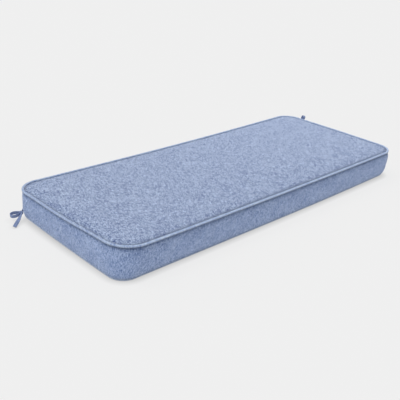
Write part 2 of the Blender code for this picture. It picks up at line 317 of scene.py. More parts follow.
# %% Walking round a seam
def outline(edges, radii, bows):
    """Points and inward normals of a rounded rectangle, anticlockwise from the front right corner."""
    points = []
    normals = []
    for index, (corner, radius) in enumerate(zip(CORNERS, radii)):
        reach_x = edges.right if corner.side_x > 0 else edges.left
        reach_y = edges.back if corner.side_y > 0 else edges.front
        centre = np.array([reach_x - corner.side_x * radius, reach_y - corner.side_y * radius])
        angles = np.radians(90.0 * (index - 1) + np.linspace(0.0, 90.0, CORNER_STEPS + 1))
        outward = np.stack([np.cos(angles), np.sin(angles)], axis=1)
        points.append(centre + radius * outward)
        normals.append(-outward)
    loop_points = []
    loop_normals = []
    for index, steps in enumerate(SIDE_STEPS):
        start = points[index][-1]
        end = points[(index + 1) % len(points)][0]
        share = np.linspace(0.0, 1.0, steps + 1)[1:-1, None]
        inward = np.repeat(normals[index][-1:], len(share), axis=0)
        side = start + share * (end - start) - inward * bows[index] * np.sin(np.pi * share) ** 2
        loop_points += [points[index], side]
        loop_normals += [normals[index], inward]
    return np.concatenate(loop_points), np.concatenate(loop_normals)


def corner_sum(points, field):
    """Sum of a corner value over the plan, strongest at its own corner and zero beyond its reach."""
    total = np.zeros(len(points))
    for corner in CORNERS:
        apex = np.array([corner.side_x * HALF_LENGTH, corner.side_y * HALF_WIDTH])
        distance = np.linalg.norm(points - apex, axis=1)
        total += getattr(corner, field) * np.clip(1.0 - distance / CORNER_REACH, 0.0, 1.0) ** 2
    return total


def top_height(points, inset):
    x_share, y_share = points[:, 0] / HALF_LENGTH, points[:, 1] / HALF_WIDTH
    dip = TOP_DIP * np.clip(1.0 - x_share ** 2, 0.0, 1.0) * np.exp(-inset / DIP_FADE)
    return SEAM_HEIGHT - BACK_DROP * y_share - dip


def bottom_height(points, inset):
    fade = np.clip(1.0 - inset / LIFT_DEPTH, 0.0, 1.0) ** 2
    return corner_sum(points, "lift") * fade


def level(plan, height):
    return np.column_stack([plan, np.broadcast_to(height, len(plan))])


TOP_EDGES = Sides(right=HALF_LENGTH, back=HALF_WIDTH, left=-HALF_LENGTH, front=-HALF_WIDTH)
BOTTOM_EDGES = Sides(
    right=HALF_LENGTH - BOTTOM_INSET.right,
    back=HALF_WIDTH - BOTTOM_INSET.back,
    left=BOTTOM_INSET.left - HALF_LENGTH,
    front=BOTTOM_INSET.front - HALF_WIDTH,
)
top_points, top_normals = outline(TOP_EDGES, [corner.top_radius for corner in CORNERS], TOP_BOW)
bottom_points, bottom_normals = outline(
    BOTTOM_EDGES, [corner.bottom_radius for corner in CORNERS], BOTTOM_BOW)
bottom_points = bottom_points + bottom_normals * corner_sum(bottom_points, "tuck")[:, None]
upper_seam = level(top_points, top_height(top_points, 0.0))
lower_seam = level(bottom_points, WELT_RADIUS + GAP + bottom_height(bottom_points, 0.0))


def arc_lengths(points):
    """Length along a closed line to each of its points, and once round."""
    steps = np.linalg.norm(np.roll(points, -1, axis=0) - points, axis=1)
    return np.concatenate([[0.0], np.cumsum(steps)[:-1]]), float(steps.sum())


top_along, top_girth = arc_lengths(upper_seam)
welt_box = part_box("welt_top")
print("stations:", STATION_COUNT, "  upper seam:", round(top_girth, 3), "m round")
print("the solid welt's right edge:", round(welt_box[1][0], 4),
      "  this line's:", round(top_points[:, 0].max() + WELT_RADIUS, 4))

# %% [markdown]
# ## Swelling the filling
# A cushion gets its shape from filling that pushes against sewn cloth. That can be drawn by hand, but
# Blender's Cloth with pressure finds the soft unevenness by itself. A copy of the plain solid is
# remeshed into even squares, its seams and its underside are held still, the cloth is made a little
# too large, as loose covers are, and pressure swells it for twenty frames. Only how far each point has
# moved is kept. The crown's mean height is known from the photograph, so later only the unevenness of
# this movement is used, and the mean is left out.

# %% The swelling
VOXEL = 0.0065
SAME_PLACE = 1e-5           # points nearer to each other than this are one
SWELL_FRAMES = 20
SWELL_LIMIT = 0.012         # no point may move further than this
HELD_BY_SEAM = 0.010        # cloth nearer to a seam than this is held still
HELD_BY_FLOOR = 0.003
CLOTH_SETTINGS = dict(
    quality=6, mass=0.3, use_pressure=True, uniform_pressure_force=4.0, vertex_group_mass="held",
    tension_stiffness=15.0, compression_stiffness=15.0, shear_stiffness=5.0, bending_stiffness=0.5,
    shrink_min=-0.012)      # a negative shrink makes the cloth larger than its solid
NEAR_POINTS = 6             # a ring's point moves as this many points of the filling near it do


def remeshed_copy(source):
    """A copy of a solid with its triangles joined up and redrawn as small even squares."""
    mesh = source.data.copy()
    working = bmesh.new()
    working.from_mesh(mesh)
    bmesh.ops.remove_doubles(working, verts=working.verts, dist=SAME_PLACE)
    working.to_mesh(mesh)
    working.free()
    copy = new_object("filling", mesh)
    set_all(copy.modifiers.new("squares", "REMESH"), mode="VOXEL", voxel_size=VOXEL)
    squares = bpy.data.meshes.new_from_object(evaluated(copy))
    copy.modifiers.clear()
    copy.data = squares
    return copy


def positions(mesh):
    flat = np.empty(3 * len(mesh.vertices))
    mesh.vertices.foreach_get("co", flat)
    return flat.reshape(-1, 3)


def finder(places):
    """A tree that finds which of some places lie nearest to a point."""
    tree = KDTree(len(places))
    for index, place in enumerate(places):
        tree.insert(place, index)
    tree.balance()
    return tree


def distance_to_line(places, line):
    tree = finder(line)
    return np.array([tree.find(place)[2] for place in places])


def swell():
    """Where the filling's points start, and how far the pressure moves each of them."""
    filling = remeshed_copy(frame["nodes"]["cushion"])
    start = positions(filling.data)
    to_seam = np.minimum(distance_to_line(start, upper_seam), distance_to_line(start, lower_seam))
    held = (to_seam < HELD_BY_SEAM) | (start[:, 2] < HELD_BY_FLOOR)
    group = filling.vertex_groups.new(name="held")
    group.add(np.nonzero(held)[0].tolist(), 1.0, "REPLACE")
    cloth = filling.modifiers.new("swelling", "CLOTH")
    set_all(cloth.settings, **CLOTH_SETTINGS)
    cloth.settings.effector_weights.gravity = 0.0
    cloth.collision_settings.use_self_collision = False
    set_all(cloth.point_cache, frame_start=1, frame_end=SWELL_FRAMES)
    for number in range(1, SWELL_FRAMES + 1):
        scene.frame_set(number)
    swollen_filling = evaluated(filling)
    moved = positions(swollen_filling.to_mesh()) - start
    swollen_filling.to_mesh_clear()
    mesh = filling.data
    bpy.data.objects.remove(filling, do_unlink=True)
    bpy.data.meshes.remove(mesh)
    scene.frame_set(1)
    reach = np.linalg.norm(moved, axis=1)
    moved *= (SWELL_LIMIT / np.maximum(reach, SWELL_LIMIT))[:, None]
    furthest = float(np.linalg.norm(moved, axis=1).max())
    print("swelling:", len(start), "points, the furthest moved", round(furthest * MM, 1), "mm")
    return start, moved


def carried(places, start, moved):
    """Movement at some places, from the nearest points of the swollen filling."""
    tree = finder(start)
    result = np.zeros_like(places)
    for row, place in enumerate(places):
        near = tree.find_n(place, NEAR_POINTS)
        weights = np.array([1.0 / (item[2] ** 2 + VOXEL ** 2) for item in near])
        result[row] = weights @ moved[[item[1] for item in near]] / weights.sum()
    return result


swollen = swell()

# %% [markdown]
# ## The body's section
# The visible body is a grid of rings. Each ring goes once round the cushion, and the section below
# says how far inside the seam a ring lies and how high. The panel comes out from its crown, rolls
# over its lip and dives into the channel where the welt lies. The boxing starts under the welt,
# swells out at once, and ends in the lower channel. A grid like this keeps the seams crisp, which a
# remeshed body can't, and gives the cloth's pattern clean coordinates in metres.

# %% Sizes of the section
CROWN_RISE = 0.0065
CROWN_ROLL = 0.022
LIP_INSET = 0.0095
LIP_RISE = 0.0030
ROLL_INSET = 0.0110         # the panel starts to dive into its channel here
RIM_DROP = 0.0026           # the panel falls away by this much more close to its rim
RIM_REACH = 0.0090
COVER_RADIUS = 0.0035       # the sewn-in welt shows a little less than its full cord
COVER_SINK = 0.0005
COVER_PROUD = 0.0004
WRAP_RADIUS = 0.0044        # of the channel round a welt
# Angles round a welt, in degrees: 0 is outward, 180 inward and 270 towards the boxing.
UPPER_WRAP = (186.0, 240.0)
LOWER_WRAP = (328.0, 164.0)
BOXING_WRAP = (262.0, 328.0)
WRAP_STEPS = 9
ROLL_STEPS = 8
LIP_HANDLE = 0.0045         # how stiffly the roll leaves the panel
CHANNEL_HANDLE = (0.00033, 0.0022)      # and how it turns down into the channel
SLOPE_STEP = 0.001
BELLY = 0.0045              # the boxing swells out by this much half way down
BELLY_POWER = 0.45          # below 1: it swells out at once beside the seams
SEAM_PINCH = 0.0046         # the seam draws the boxing in by this much, close under the upper welt
PINCH_REACH = 0.0042
BOXING_STEPS = 22
BOXING_DEPTH = 0.083
EVEN_INSET = 0.020          # up to here the rings keep the outline's own shape
PANEL_RINGS = 38
UNDERSIDE_RINGS = 14
PANEL_SPACING = 1.35        # above 1: rings lie closer together towards the lip
MIDDLE_REACH = HALF_LENGTH - HALF_WIDTH


# %% The section's rings
def wrap_point(angle):
    """A place on a channel's arc: its distance inside the welt's centre line, and above it."""
    return -WRAP_RADIUS * cos(radians(angle)), WRAP_RADIUS * sin(radians(angle))


def beside_upper(inset, rise):
    """A ring this far inside the upper seam and above it."""
    return level(top_points + top_normals * inset, upper_seam[:, 2] + rise)


def beside_lower(inset, rise):
    """A ring this far inside the lower seam, and below it: the lower channel is the upper's mirror."""
    return level(bottom_points + bottom_normals * inset, lower_seam[:, 2] - rise)


def crown_height(inset):
    """How far the panel lies above the upper seam's centre line."""
    crown = CROWN_RISE * (1.0 - np.exp(-(inset - LIP_INSET) / CROWN_ROLL))
    return LIP_RISE + crown - RIM_DROP * np.exp(-(inset - LIP_INSET) / RIM_REACH)


def lip_roll():
    """Places from the panel's lip down to the channel's start, on one smooth curve."""
    start = np.array([ROLL_INSET, crown_height(ROLL_INSET)])
    end = np.array(wrap_point(UPPER_WRAP[0]))
    slope = (crown_height(ROLL_INSET + SLOPE_STEP) - crown_height(ROLL_INSET)) / SLOPE_STEP
    handles = start + LIP_HANDLE * np.array([-1.0, -slope]), end + np.array(CHANNEL_HANDLE)
    places = []
    for t in np.linspace(0.0, 1.0, ROLL_STEPS + 2)[1:-1]:
        places.append((1 - t) ** 3 * start + 3 * (1 - t) ** 2 * t * handles[0]
                      + 3 * (1 - t) * t ** 2 * handles[1] + t ** 3 * end)
    return places


def middle_line():
    """Where each station's rings end: on the middle line, so that front and back meet there."""
    marks = [0, BACK_START, LEFT_START, FRONT_START, STATION_COUNT]
    ends = [MIDDLE_REACH, MIDDLE_REACH, -MIDDLE_REACH, -MIDDLE_REACH, MIDDLE_REACH]
    along = np.interp(np.arange(STATION_COUNT), marks, ends)
    return np.column_stack([along, np.zeros(STATION_COUNT)])


def ring(points, normals, inset):
    """A ring of plan points inside an outline: even at first, then drawn to the middle line."""
    even = points + normals * min(inset, EVEN_INSET)
    share = max(0.0, inset - EVEN_INSET) / (HALF_WIDTH - EVEN_INSET)
    return even + (middle_line() - even) * share


def panel_rings():
    """Rings from the middle of the top panel out to its lip, with their distance inside the seam."""
    rings = []
    for share in np.linspace(1.0, 0.0, PANEL_RINGS + 1):
        inset = ROLL_INSET + (HALF_WIDTH - ROLL_INSET) * share ** PANEL_SPACING
        plan = ring(top_points, top_normals, inset)
        rings.append((inset, level(plan, top_height(plan, inset) + crown_height(inset))))
    for inset, rise in lip_roll():
        plan = top_points + top_normals * inset
        rings.append((inset, level(plan, top_height(plan, inset) + rise)))
    for angle in np.linspace(*UPPER_WRAP, WRAP_STEPS):
        inset, rise = wrap_point(angle)
        rings.append((inset, beside_upper(inset, rise)))
    return rings


def boxing_ring(share):
    """The boxing at a share of its depth: 0 at the upper channel's end, 1 at the lower one's."""
    upper = beside_upper(*wrap_point(BOXING_WRAP[0]))
    lower = beside_lower(*wrap_point(BOXING_WRAP[1]))
    outward = (BELLY + corner_sum(top_points, "swell")) * sin(pi * share) ** BELLY_POWER
    outward -= SEAM_PINCH * np.exp(-share * BOXING_DEPTH / PINCH_REACH)
    return upper + (lower - upper) * share - level(top_normals * outward[:, None], 0.0)


def underside_rings():
    rings = [beside_lower(*wrap_point(angle)) for angle in np.linspace(*LOWER_WRAP, WRAP_STEPS)]
    for share in np.linspace(0.0, 1.0, UNDERSIDE_RINGS + 1):
        inset = LIP_INSET + (HALF_WIDTH - LIP_INSET) * share
        plan = ring(bottom_points, bottom_normals, inset)
        rings.append(level(plan, bottom_height(bottom_points, inset)))
    return rings


BOXING_SHARES = (1.0 - np.cos(np.pi * np.linspace(0.0, 1.0, BOXING_STEPS + 1)[1:-1])) / 2.0
panel = panel_rings()
boxing = [boxing_ring(share) for share in BOXING_SHARES]
underside = underside_rings()
print("rings:", len(panel), "in the top panel,", len(boxing), "in the boxing,", len(underside), "below")

# %% [markdown]
# ## Unevenness of the cloth
# No filled cushion is as smooth as its formula. Four things make it uneven: the swelling worked out
# above, slow soft waves in the filling, small puckers where a seam gathers the cloth, and the few
# faint creases that the photograph shows near the right end. Each fades out before it reaches the
# seam, so that the welts still lie in their channels.

# %% Unevenness
PANEL_FADE = (0.004, 0.035)     # inside the seam: the swelling begins here and is whole here
SWELLING_SHARE = 0.5
WAVE_HEIGHT = 0.0011
WAVE_LENGTH = 0.110
PUCKER_HEIGHT = 0.00055
PUCKER_PITCH = 0.021
PUCKER_REACH = 0.013
BOXING_WAVE = 0.0008
BOXING_WAVE_LENGTH = 0.075
NOISE_STEP = Vector((13.7, -7.1, 3.3))      # each seed moves to its own part of the noise

# A crease: its two ends in plan, and how deep and how wide its soft trough is, in millimetres.
Crease = namedtuple("Crease", "x0 y0 x1 y1 depth width")
CREASES = (
    Crease(463, 26, 533, 44, depth=0.7, width=9),
    Crease(412, -82, 422, -133, depth=0.6, width=10),
    Crease(462, -46, 434, -152, depth=0.5, width=11),
    Crease(262, -60, 330, -118, depth=0.6, width=9),
)


def smooth_step(value, low, high):
    share = np.clip((value - low) / (high - low), 0.0, 1.0)
    return share * share * (3.0 - 2.0 * share)


def soft_noise(places, size, seed):
    """Smooth noise from -1 to 1 that changes over about the given size."""
    shift = seed * NOISE_STEP
    return np.array([noise.noise(Vector(place) / size + shift) for place in places])


def crease_depth(places):
    """How far the creases lower the panel at some plan points."""
    total = np.zeros(len(places))
    plan = places[:, :2] * MM
    for crease in CREASES:
        start = np.array([crease.x0, crease.y0])
        run = np.array([crease.x1, crease.y1]) - start
        length = np.linalg.norm(run)
        along = (plan - start) @ run / length
        across = (plan - start) @ np.array([-run[1], run[0]]) / length
        ends = smooth_step(along, 0.0, length / 3) * smooth_step(length - along, 0.0, length / 3)
        total += crease.depth / MM * ends * np.exp(-(across / crease.width) ** 2)
    return total


def uneven_panel(rings):
    """The panel's rings with the swelling, the waves, the puckers and the creases added to them."""
    pucker = soft_noise(upper_seam, PUCKER_PITCH, seed=3)
    moved_rings = []
    for inset, places in rings:
        fade = smooth_step(inset, *PANEL_FADE)
        rise = WAVE_HEIGHT * soft_noise(places, WAVE_LENGTH, seed=1) * fade
        rise += PUCKER_HEIGHT * pucker * np.exp(-max(0.0, inset - LIP_INSET) / PUCKER_REACH) \
            * smooth_step(inset, WRAP_RADIUS, LIP_INSET)
        rise -= crease_depth(places)
        if swollen and fade > 0.0:
            lift = carried(places, *swollen)[:, 2]
            rise += SWELLING_SHARE * fade * (lift - lift.mean())
        moved_rings.append(places + level(np.zeros((len(places), 2)), rise))
    return moved_rings


def uneven_boxing(rings):
    """The boxing's rings, pushed out and in along the outline's normals."""
    upper_pucker = soft_noise(upper_seam, PUCKER_PITCH, seed=5)
    lower_pucker = soft_noise(lower_seam, PUCKER_PITCH, seed=7)
    moved_rings = []
    for share, places in zip(BOXING_SHARES, rings):
        depth = share * BOXING_DEPTH
        fade = sin(pi * share) ** 0.5
        out = BOXING_WAVE * fade * soft_noise(places, BOXING_WAVE_LENGTH, seed=2)
        out += PUCKER_HEIGHT * fade * upper_pucker * np.exp(-depth / PUCKER_REACH)
        out += PUCKER_HEIGHT * fade * lower_pucker * np.exp(-(BOXING_DEPTH - depth) / PUCKER_REACH)
        if swollen:
            push = -np.sum(carried(places, *swollen)[:, :2] * top_normals, axis=1)
            out += fade * (push - push.mean())
        moved_rings.append(places - level(top_normals * out[:, None], 0.0))
    return moved_rings


panel_places = uneven_panel(panel)
boxing_places = uneven_boxing(boxing)

# %% [markdown]
# ## The body
# The rings become one closed mesh. Each row of faces gets its cloth coordinates in metres: the plan
# on the two panels, and the length round the seam by the depth on the boxing, so that the weave runs
# along each panel as its maker would cut it. The inmost ring of each panel folds onto the middle
# line, where front and back stations meet, and merging the doubled points closes it.
#
# Beside each seam, shade is painted into the cloth's colour. Each point keeps how much darker the
# painted shade makes it, as an attribute, and the material reads it. It is drawn on the cloth and
# does not follow the light, so it stays in place whichever side the cushion is seen from.

# %% The body's mesh
FIRST_BOXING_ROW = len(panel) - 1
FIRST_UNDERSIDE_ROW = FIRST_BOXING_ROW + len(boxing) + 1
FOLDED_TOGETHER = 1e-6      # the inmost points closer than this are one
CLOTH_MAP = "cloth"
PAINTED_SEAM_SHADE = "painted_seam_shade"
# painted shade: a soft band of it lies beside each seam
WIDE_SHADE, WIDE_REACH = 0.14, 0.012     # a soft dark band beside each seam

# The painted line of shade in a seam: its strength in the channel, then before it (towards the middle
# of the top panel) at its deepest, how far before that is and over what width, and after it with its
# reach.
SeamLine = namedtuple("SeamLine", "channel before before_place before_width after after_reach")
UPPER_LINE = SeamLine(channel=0.12, before=0.42, before_place=0.0030, before_width=0.0042,
                      after=0.50, after_reach=0.0045)
LOWER_LINE = SeamLine(channel=0.22, before=0.12, before_place=0.0000, before_width=0.0030,
                      after=0.50, after_reach=0.0300)
# painted shade: the seams' painted shade is whole along the front and weaker at the ends and back
FACINGS = (-1.0, 0.0, 1.0)      # the back, the two ends and the front, as the inward normal's y
PAINTED_SHADE_BY_SIDE = (0.38, 0.55, 1.0)   # how dark their seams are, beside the front's


def painted_shade_by_side(normals):
    """How strong the painted seam shade is at each station, from its inward normal: whole along the
    front.
    """
    return np.interp(normals[:, 1], FACINGS, PAINTED_SHADE_BY_SIDE)


def cloth_coordinates(rings):
    """Cloth coordinates of the four corners of each face, row by row, in metres."""
    along = np.append(top_along, top_girth)
    depths = np.concatenate([[0.0], BOXING_SHARES, [1.0]]) * BOXING_DEPTH
    coordinates = []
    for row in range(len(rings) - 1):
        if FIRST_BOXING_ROW <= row < FIRST_UNDERSIDE_ROW:
            step = row - FIRST_BOXING_ROW
            upper = np.column_stack([along, np.full(len(along), -depths[step])])
            lower = np.column_stack([along, np.full(len(along), -depths[step + 1])])
        else:
            upper, lower = rings[row][:, :2], rings[row + 1][:, :2]
            upper, lower = np.vstack([upper, upper[:1]]), np.vstack([lower, lower[:1]])
        coordinates.append(np.stack([upper[:-1], lower[:-1], lower[1:], upper[1:]], axis=1))
    return np.concatenate(coordinates)


def store_map(mesh, coordinates):
    layer = mesh.uv_layers.new(name=CLOTH_MAP)
    layer.data.foreach_set("uv", coordinates.astype(np.float32).ravel())


def store_shade(mesh, shades):
    layer = mesh.attributes.new(PAINTED_SEAM_SHADE, "FLOAT", "POINT")
    layer.data.foreach_set("value", shades.astype(np.float32).ravel())


def painted_seam_shade(rings):
    """How much darker painted shade makes each ring for lying close to a seam."""
    section = np.array([places[BACK_START] for places in rings])
    steps = np.linalg.norm(np.diff(section, axis=0), axis=1)
    travelled = np.concatenate([[0.0], np.cumsum(steps)])
    total = np.zeros(len(rings))
    for first, last, line in ((PANEL_RINGS + 1 + ROLL_STEPS, FIRST_BOXING_ROW + 1, UPPER_LINE),
                              (FIRST_UNDERSIDE_ROW, FIRST_UNDERSIDE_ROW + WRAP_STEPS, LOWER_LINE)):
        before = travelled[first] - travelled
        after = travelled - travelled[last]
        away = np.maximum(0.0, np.maximum(before, after))
        before_dark = line.before * np.exp(-((before - line.before_place) / line.before_width) ** 2)
        after_dark = line.after * np.exp(-np.maximum(0.0, after) / line.after_reach)
        dark = np.where(before > 0.0, before_dark, np.where(after > 0.0, after_dark, line.channel))
        total += dark + WIDE_SHADE * np.exp(-away / WIDE_REACH)
    return total


def make_body():
    rings = panel_places + boxing_places + underside
    rows = np.arange(len(rings) - 1)[:, None] * STATION_COUNT
    station = np.arange(STATION_COUNT)[None, :]
    following = (station + 1) % STATION_COUNT
    faces = np.stack([rows + station, rows + STATION_COUNT + station,
                      rows + STATION_COUNT + following, rows + following], axis=2).reshape(-1, 4)
    mesh = bpy.data.meshes.new("cushion_body")
    mesh.from_pydata(np.concatenate(rings).tolist(), [], faces.tolist())
    store_map(mesh, cloth_coordinates(rings))
    # painted shade: each point stores how much the painted seam shade darkens its colour
    store_shade(mesh, painted_seam_shade(rings)[:, None] * painted_shade_by_side(top_normals)[None, :])
    working = bmesh.new()
    working.from_mesh(mesh)
    inmost = [vertex for vertex in working.verts
              if vertex.index < STATION_COUNT or vertex.index >= (len(rings) - 1) * STATION_COUNT]
    bmesh.ops.remove_doubles(working, verts=inmost, dist=FOLDED_TOGETHER)
    bmesh.ops.recalc_face_normals(working, faces=working.faces)
    open_edges = sum(1 for edge in working.edges if not edge.is_manifold)
    print("body:", len(working.verts), "points,", len(working.faces), "faces,",
          open_edges, "open edges")
    working.to_mesh(mesh)
    working.free()
    mesh.shade_smooth()
    rows_of_faces = np.repeat(np.arange(len(rings) - 1), STATION_COUNT)[:len(mesh.polygons)]
    on_boxing = (rows_of_faces >= FIRST_BOXING_ROW) & (rows_of_faces < FIRST_UNDERSIDE_ROW)
    mesh.polygons.foreach_set("material_index", on_boxing.astype(np.int32))
    return new_object("cushion_body", mesh)


body = make_body()

# %% [markdown]
# ## The heathered weave
# The cloth is a plain weave of blue yarns spun from darker and lighter fibres, so each yarn changes
# its tone every few millimetres. From a step away that reads as a fine mottling. An image could give
# it, but a rule is sharper at any distance: the yarns are numbered across the cloth, each has its own
# streaks and slubs of tone along its length, and at every crossing the warp or the weft lies on top.
# The mottling runs with the warp, as it does on the real cloth, so the blotches that lie over the
# yarns are long and narrow. Close up, each yarn is round, has twisted fibres and a hairy edge. The
# group puts out the colour, with painted shade in the gaps between yarns, the height and the
# roughness, and each material adds its bump and sheen.

# %% The weave group
FLOAT, COLOUR, VECTOR = "NodeSocketFloat", "NodeSocketColor", "NodeSocketVector"
YARN_NUMBER_STEP = 17.3     # moves each yarn to its own part of the noise
STREAK_PLACE, SLUB_PLACE = 2.7, 40.1    # more such parts, which have nothing to do with each other
WARP_FIBRE_PLACE, WEFT_FIBRE_PLACE = 7.0, 31.0
WEFT_STEP = 88.6
WANDERS = ((90.0, 0.0009), (900.0, 0.0009))     # waves in a metre, and their reach in metres
SLUB_CROSSINGS = 1.0        # how many crossings a slub, a short thick tuft in the yarn, is long
WEFT_CHANGES = 0.7          # changes of tone in the weft at each crossing, at the least
FIBRES_PER_YARN = 5.0       # fibres side by side in a yarn
FIBRE_TWIST = 1.6           # how far they turn across it from one crossing to the next
FIBRE_STRETCH = 0.9         # how often one starts, for each crossing
FIBRE_RELIEF = 0.5          # their height, beside the yarn's
FIBRE_SHADE = 0.7           # how much they differ in tone
# painted shade: the gaps between yarns are darkened in colour
PAINTED_GAP_SHADE = 0.55            # how much darker the gaps between yarns are than their tops
BLOTCH_STRETCH = (1.5, 0.14, 1.0)   # blotches run with the warp, across the cushion
ARCH_SHARE = 0.6            # how much of a yarn's height is its arch over the crossing
TOP_TONE = 0.95             # the tone of a yarn half way up
ROUGHNESS, ROUGHNESS_RANGE = 0.80, 0.15


def yarn_tone(tree, number, along, shift):
    """Tone of a yarn from its number across the cloth and the place along its length."""
    place = add(tree, "ShaderNodeCombineXYZ", {
        "X": maths(tree, "MULTIPLY_ADD", number, YARN_NUMBER_STEP, shift), "Y": along, "Z": shift})
    return noise_tone(tree, place.outputs[0], 1.0, detail=1.0)


def fibre_place(tree, across, along, shift):
    """Where a point lies among the twisted fibres of its yarn."""
    twist = maths(tree, "MULTIPLY", along, FIBRE_TWIST)
    return add(tree, "ShaderNodeCombineXYZ", {
        "X": maths(tree, "MULTIPLY_ADD", across, FIBRES_PER_YARN, twist),
        "Y": maths(tree, "MULTIPLY", along, FIBRE_STRETCH), "Z": shift}).outputs[0]


def about_middle(tree, tone, contrast):
    """A tone's part in the blend: how far it is from its middle, times its contrast."""
    return maths(tree, "MULTIPLY", maths(tree, "SUBTRACT", tone, 0.5), contrast)


def count_yarns(tree, given):
    """The place across and along the cloth, counted in its yarns.

    They wander a little, as spun yarn of uneven thickness does, and their edges are hairy.
    """
    shifted = given["Place"]
    for waves, reach in WANDERS:
        wander = add(tree, "ShaderNodeTexNoise", {
            "Vector": given["Place"], "Scale": waves, "Detail": 2.0})
        centred = vector_maths(tree, "SUBTRACT", {0: wander.outputs["Color"], 1: (0.5, 0.5, 0.5)})
        shifted = vector_maths(tree, "MULTIPLY_ADD", {0: centred, 1: (reach, reach, 0.0), 2: shifted})
    per_yarn = maths(tree, "DIVIDE", 1.0, given["Yarn Pitch"])
    counted = vector_maths(tree, "SCALE", {0: shifted, "Scale": per_yarn})
    split = add(tree, "ShaderNodeSeparateXYZ", {0: counted})
    return split.outputs["X"], split.outputs["Y"]


def yarn_arch(tree, across, along, weft_on_top):
    """The height of the yarn on top: each is round across, and arches where it lies on top."""
    warp_round, weft_round = (
        maths(tree, "ABSOLUTE", maths(tree, "SINE", maths(tree, "MULTIPLY", place, pi)))
        for place in (across, along))
    warp_height, weft_height = (
        maths(tree, "MULTIPLY", own, maths(tree, "MULTIPLY_ADD", other, ARCH_SHARE, 1.0 - ARCH_SHARE))
        for own, other in ((warp_round, weft_round), (weft_round, warp_round)))
    return mix(tree, weft_on_top, warp_height, weft_height)


def blotch_tone(tree, given):
    """Slow clouds and lengthwise blotches of tone that lie over the yarns' own."""
    clouds = noise_tone(
        tree, given["Place"], maths(tree, "DIVIDE", 1.0, given["Cloud Size"]), detail=3.0)
    lengthwise = vector_maths(tree, "MULTIPLY", {0: given["Place"], 1: BLOTCH_STRETCH})
    blotches = noise_tone(
        tree, lengthwise, maths(tree, "DIVIDE", 1.0, given["Blotch Size"]), detail=2.0)
    return maths(tree, "ADD", about_middle(tree, clouds, given["Cloud Contrast"]),
                 about_middle(tree, blotches, given["Blotch Contrast"]))


# %% Building the weave group
def make_weave_group():
    tree = bpy.data.node_groups.new("heathered_weave", "ShaderNodeTree")
    group_sockets(tree, {
        "Place": (VECTOR, None),
        "Yarn Pitch": (FLOAT, 0.0015),
        "Streak Length": (FLOAT, 0.007),
        "Streak Contrast": (FLOAT, 1.0),
        "Slub Contrast": (FLOAT, 0.5),
        "Blotch Size": (FLOAT, 0.0015),
        "Blotch Contrast": (FLOAT, 0.5),
        "Cloud Size": (FLOAT, 0.036),
        "Cloud Contrast": (FLOAT, 0.10),
        "Dark Yarn": (COLOUR, (0.2, 0.2, 0.2, 1.0)),
        "Light Yarn": (COLOUR, (0.8, 0.8, 0.8, 1.0)),
    }, {"Colour": COLOUR, "Height": FLOAT, "Roughness": FLOAT})
    given = tree.nodes.new("NodeGroupInput").outputs
    across, along = count_yarns(tree, given)
    warp_number = maths(tree, "FLOOR", across)
    weft_number = maths(tree, "FLOOR", along)
    weft_on_top = maths(tree, "PINGPONG", maths(tree, "ADD", warp_number, weft_number), 1.0)

    def top_yarn_tone(per_crossing, shift):
        """The tone of whichever yarn lies on top, with this many of its changes at each crossing."""
        warp_along = maths(tree, "MULTIPLY", along, per_crossing)
        weft_changes = maths(tree, "MAXIMUM", per_crossing, WEFT_CHANGES)
        weft_along = maths(tree, "MULTIPLY", across, weft_changes)
        return mix(tree, weft_on_top, yarn_tone(tree, warp_number, warp_along, shift),
                   yarn_tone(tree, weft_number, weft_along, shift + WEFT_STEP))

    streak_changes = maths(tree, "DIVIDE", given["Yarn Pitch"], given["Streak Length"])
    tone = top_yarn_tone(streak_changes, STREAK_PLACE)
    slub = top_yarn_tone(1.0 / SLUB_CROSSINGS, SLUB_PLACE)
    fibre_places = mix(tree, weft_on_top, fibre_place(tree, across, along, WARP_FIBRE_PLACE),
                       fibre_place(tree, along, across, WEFT_FIBRE_PLACE), kind="VECTOR")
    fibre = noise_tone(tree, fibre_places, 1.0, detail=1.0)
    yarn_part = maths(tree, "ADD", about_middle(tree, tone, given["Streak Contrast"]),
                      about_middle(tree, slub, given["Slub Contrast"]))
    blend = maths(tree, "ADD", maths(tree, "ADD", yarn_part, 0.5), blotch_tone(tree, given),
                  use_clamp=True)
    yarn = mix(tree, blend, given["Dark Yarn"], given["Light Yarn"], kind="RGBA")
    arch = yarn_arch(tree, across, along, weft_on_top)
    height = maths(tree, "MULTIPLY_ADD", fibre, FIBRE_RELIEF, arch)
    # painted shade: the colour is darker where the yarn lies low, in the gaps between yarns
    shade = maths(tree, "MULTIPLY_ADD", arch, PAINTED_GAP_SHADE, TOP_TONE - 0.5 * PAINTED_GAP_SHADE)
    fibre_shade = maths(tree, "MULTIPLY_ADD", fibre, FIBRE_SHADE, 1.0 - 0.5 * FIBRE_SHADE)
    colour = vector_maths(tree, "SCALE", {
        0: yarn, "Scale": maths(tree, "MULTIPLY", shade, fibre_shade)})
    roughness = maths(tree, "MULTIPLY_ADD", tone, ROUGHNESS_RANGE, ROUGHNESS)
    add(tree, "NodeGroupOutput", {"Colour": colour, "Height": height, "Roughness": roughness})
    return tree


weave_group = make_weave_group()
print("weave group:", len(weave_group.nodes), "nodes")
